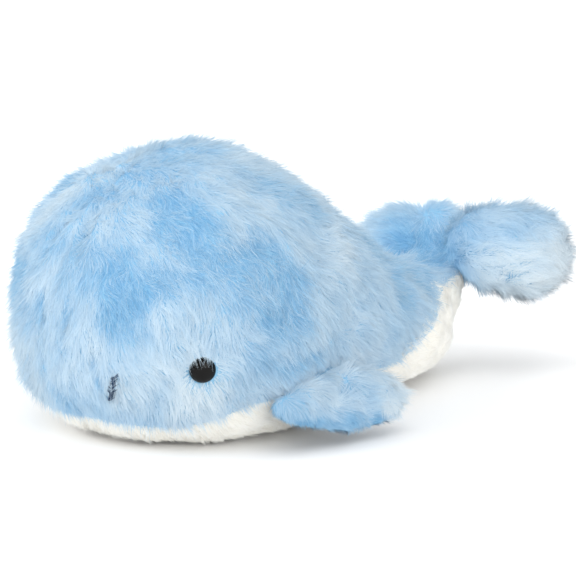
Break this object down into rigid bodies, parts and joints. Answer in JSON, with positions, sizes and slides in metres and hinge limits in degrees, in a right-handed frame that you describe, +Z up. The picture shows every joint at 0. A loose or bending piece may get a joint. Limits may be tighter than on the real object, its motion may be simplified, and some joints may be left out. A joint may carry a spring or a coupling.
{
  "type": "plush whale",
  "caption": "Round furry plush whale resting on its belly, with a curled-up tail, puffy flukes, side flippers and glossy safety eyes locked from inside by toothed washers.",
  "frame": {"origin": "middle of the whole toy's box, on the surface that it rests on", "axes": "+X from the nose to the tail, +Y to the whale's right side, +Z up"},
  "size_m": [0.3046, 0.1858, 0.133],
  "materials": {
    "coat_blue": "long soft pile",
    "coat_cream": "long soft pile",
    "stuffing": "loose fibre",
    "eye_black": "polished",
    "washer_white": "moulded"
  },
  "bodies": {
    "body": {"left_side_panel": "coat_blue", "right_side_panel": "coat_blue", "belly_panel": "coat_cream", "body_fill": "stuffing", "eye_left": "eye_black", "eye_right": "eye_black", "eye_washer_left": "washer_white", "eye_washer_right": "washer_white"},
    "tail": {"tail_left_panel": "coat_blue", "tail_right_panel": "coat_blue", "tail_underside_panel": "coat_cream", "tail_fill": "stuffing"},
    "fluke_left": {"fluke_left_top_panel": "coat_blue", "fluke_left_underside_panel": "coat_cream", "fluke_left_fill": "stuffing"},
    "fluke_right": {"fluke_right_top_panel": "coat_blue", "fluke_right_underside_panel": "coat_cream", "fluke_right_fill": "stuffing"},
    "flipper_left": {"flipper_left_top_panel": "coat_blue", "flipper_left_underside_panel": "coat_blue", "flipper_left_fill": "stuffing"},
    "flipper_right": {"flipper_right_top_panel": "coat_blue", "flipper_right_underside_panel": "coat_blue", "flipper_right_fill": "stuffing"}
  },
  "joints": [
    {"name": "tail_bend", "type": "hinge", "parent": "body", "child": "tail", "pos_m": [0.04767, 0, 0.038], "axis": [0, -1, 0], "range_deg": [-15, 25], "stiffness_Nm_per_rad": 0.3, "springref_deg": 3.44},
    {"name": "fluke_left_fold", "type": "hinge", "parent": "tail", "child": "fluke_left", "pos_m": [0.12359, -0.02184, 0.06352], "axis": [-0.9397, 0, 0.342], "range_deg": [-25, 25], "stiffness_Nm_per_rad": 0.05, "springref_deg": 1.15},
    {"name": "fluke_right_fold", "type": "hinge", "parent": "tail", "child": "fluke_right", "pos_m": [0.12176, 0.02184, 0.05848], "axis": [0.9397, 0, -0.342], "range_deg": [-25, 25], "stiffness_Nm_per_rad": 0.05, "springref_deg": 1.15},
    {"name": "flipper_left_flap", "type": "hinge", "parent": "body", "child": "flipper_left", "pos_m": [-0.06833, -0.08103, 0.033], "axis": [-0.9848, 0, -0.1736], "range_deg": [0, 75], "stiffness_Nm_per_rad": 0.02},
    {"name": "flipper_right_flap", "type": "hinge", "parent": "body", "child": "flipper_right", "pos_m": [-0.06833, 0.08103, 0.033], "axis": [0.9848, 0, 0.1736], "range_deg": [0, 75], "stiffness_Nm_per_rad": 0.02}
  ]
}
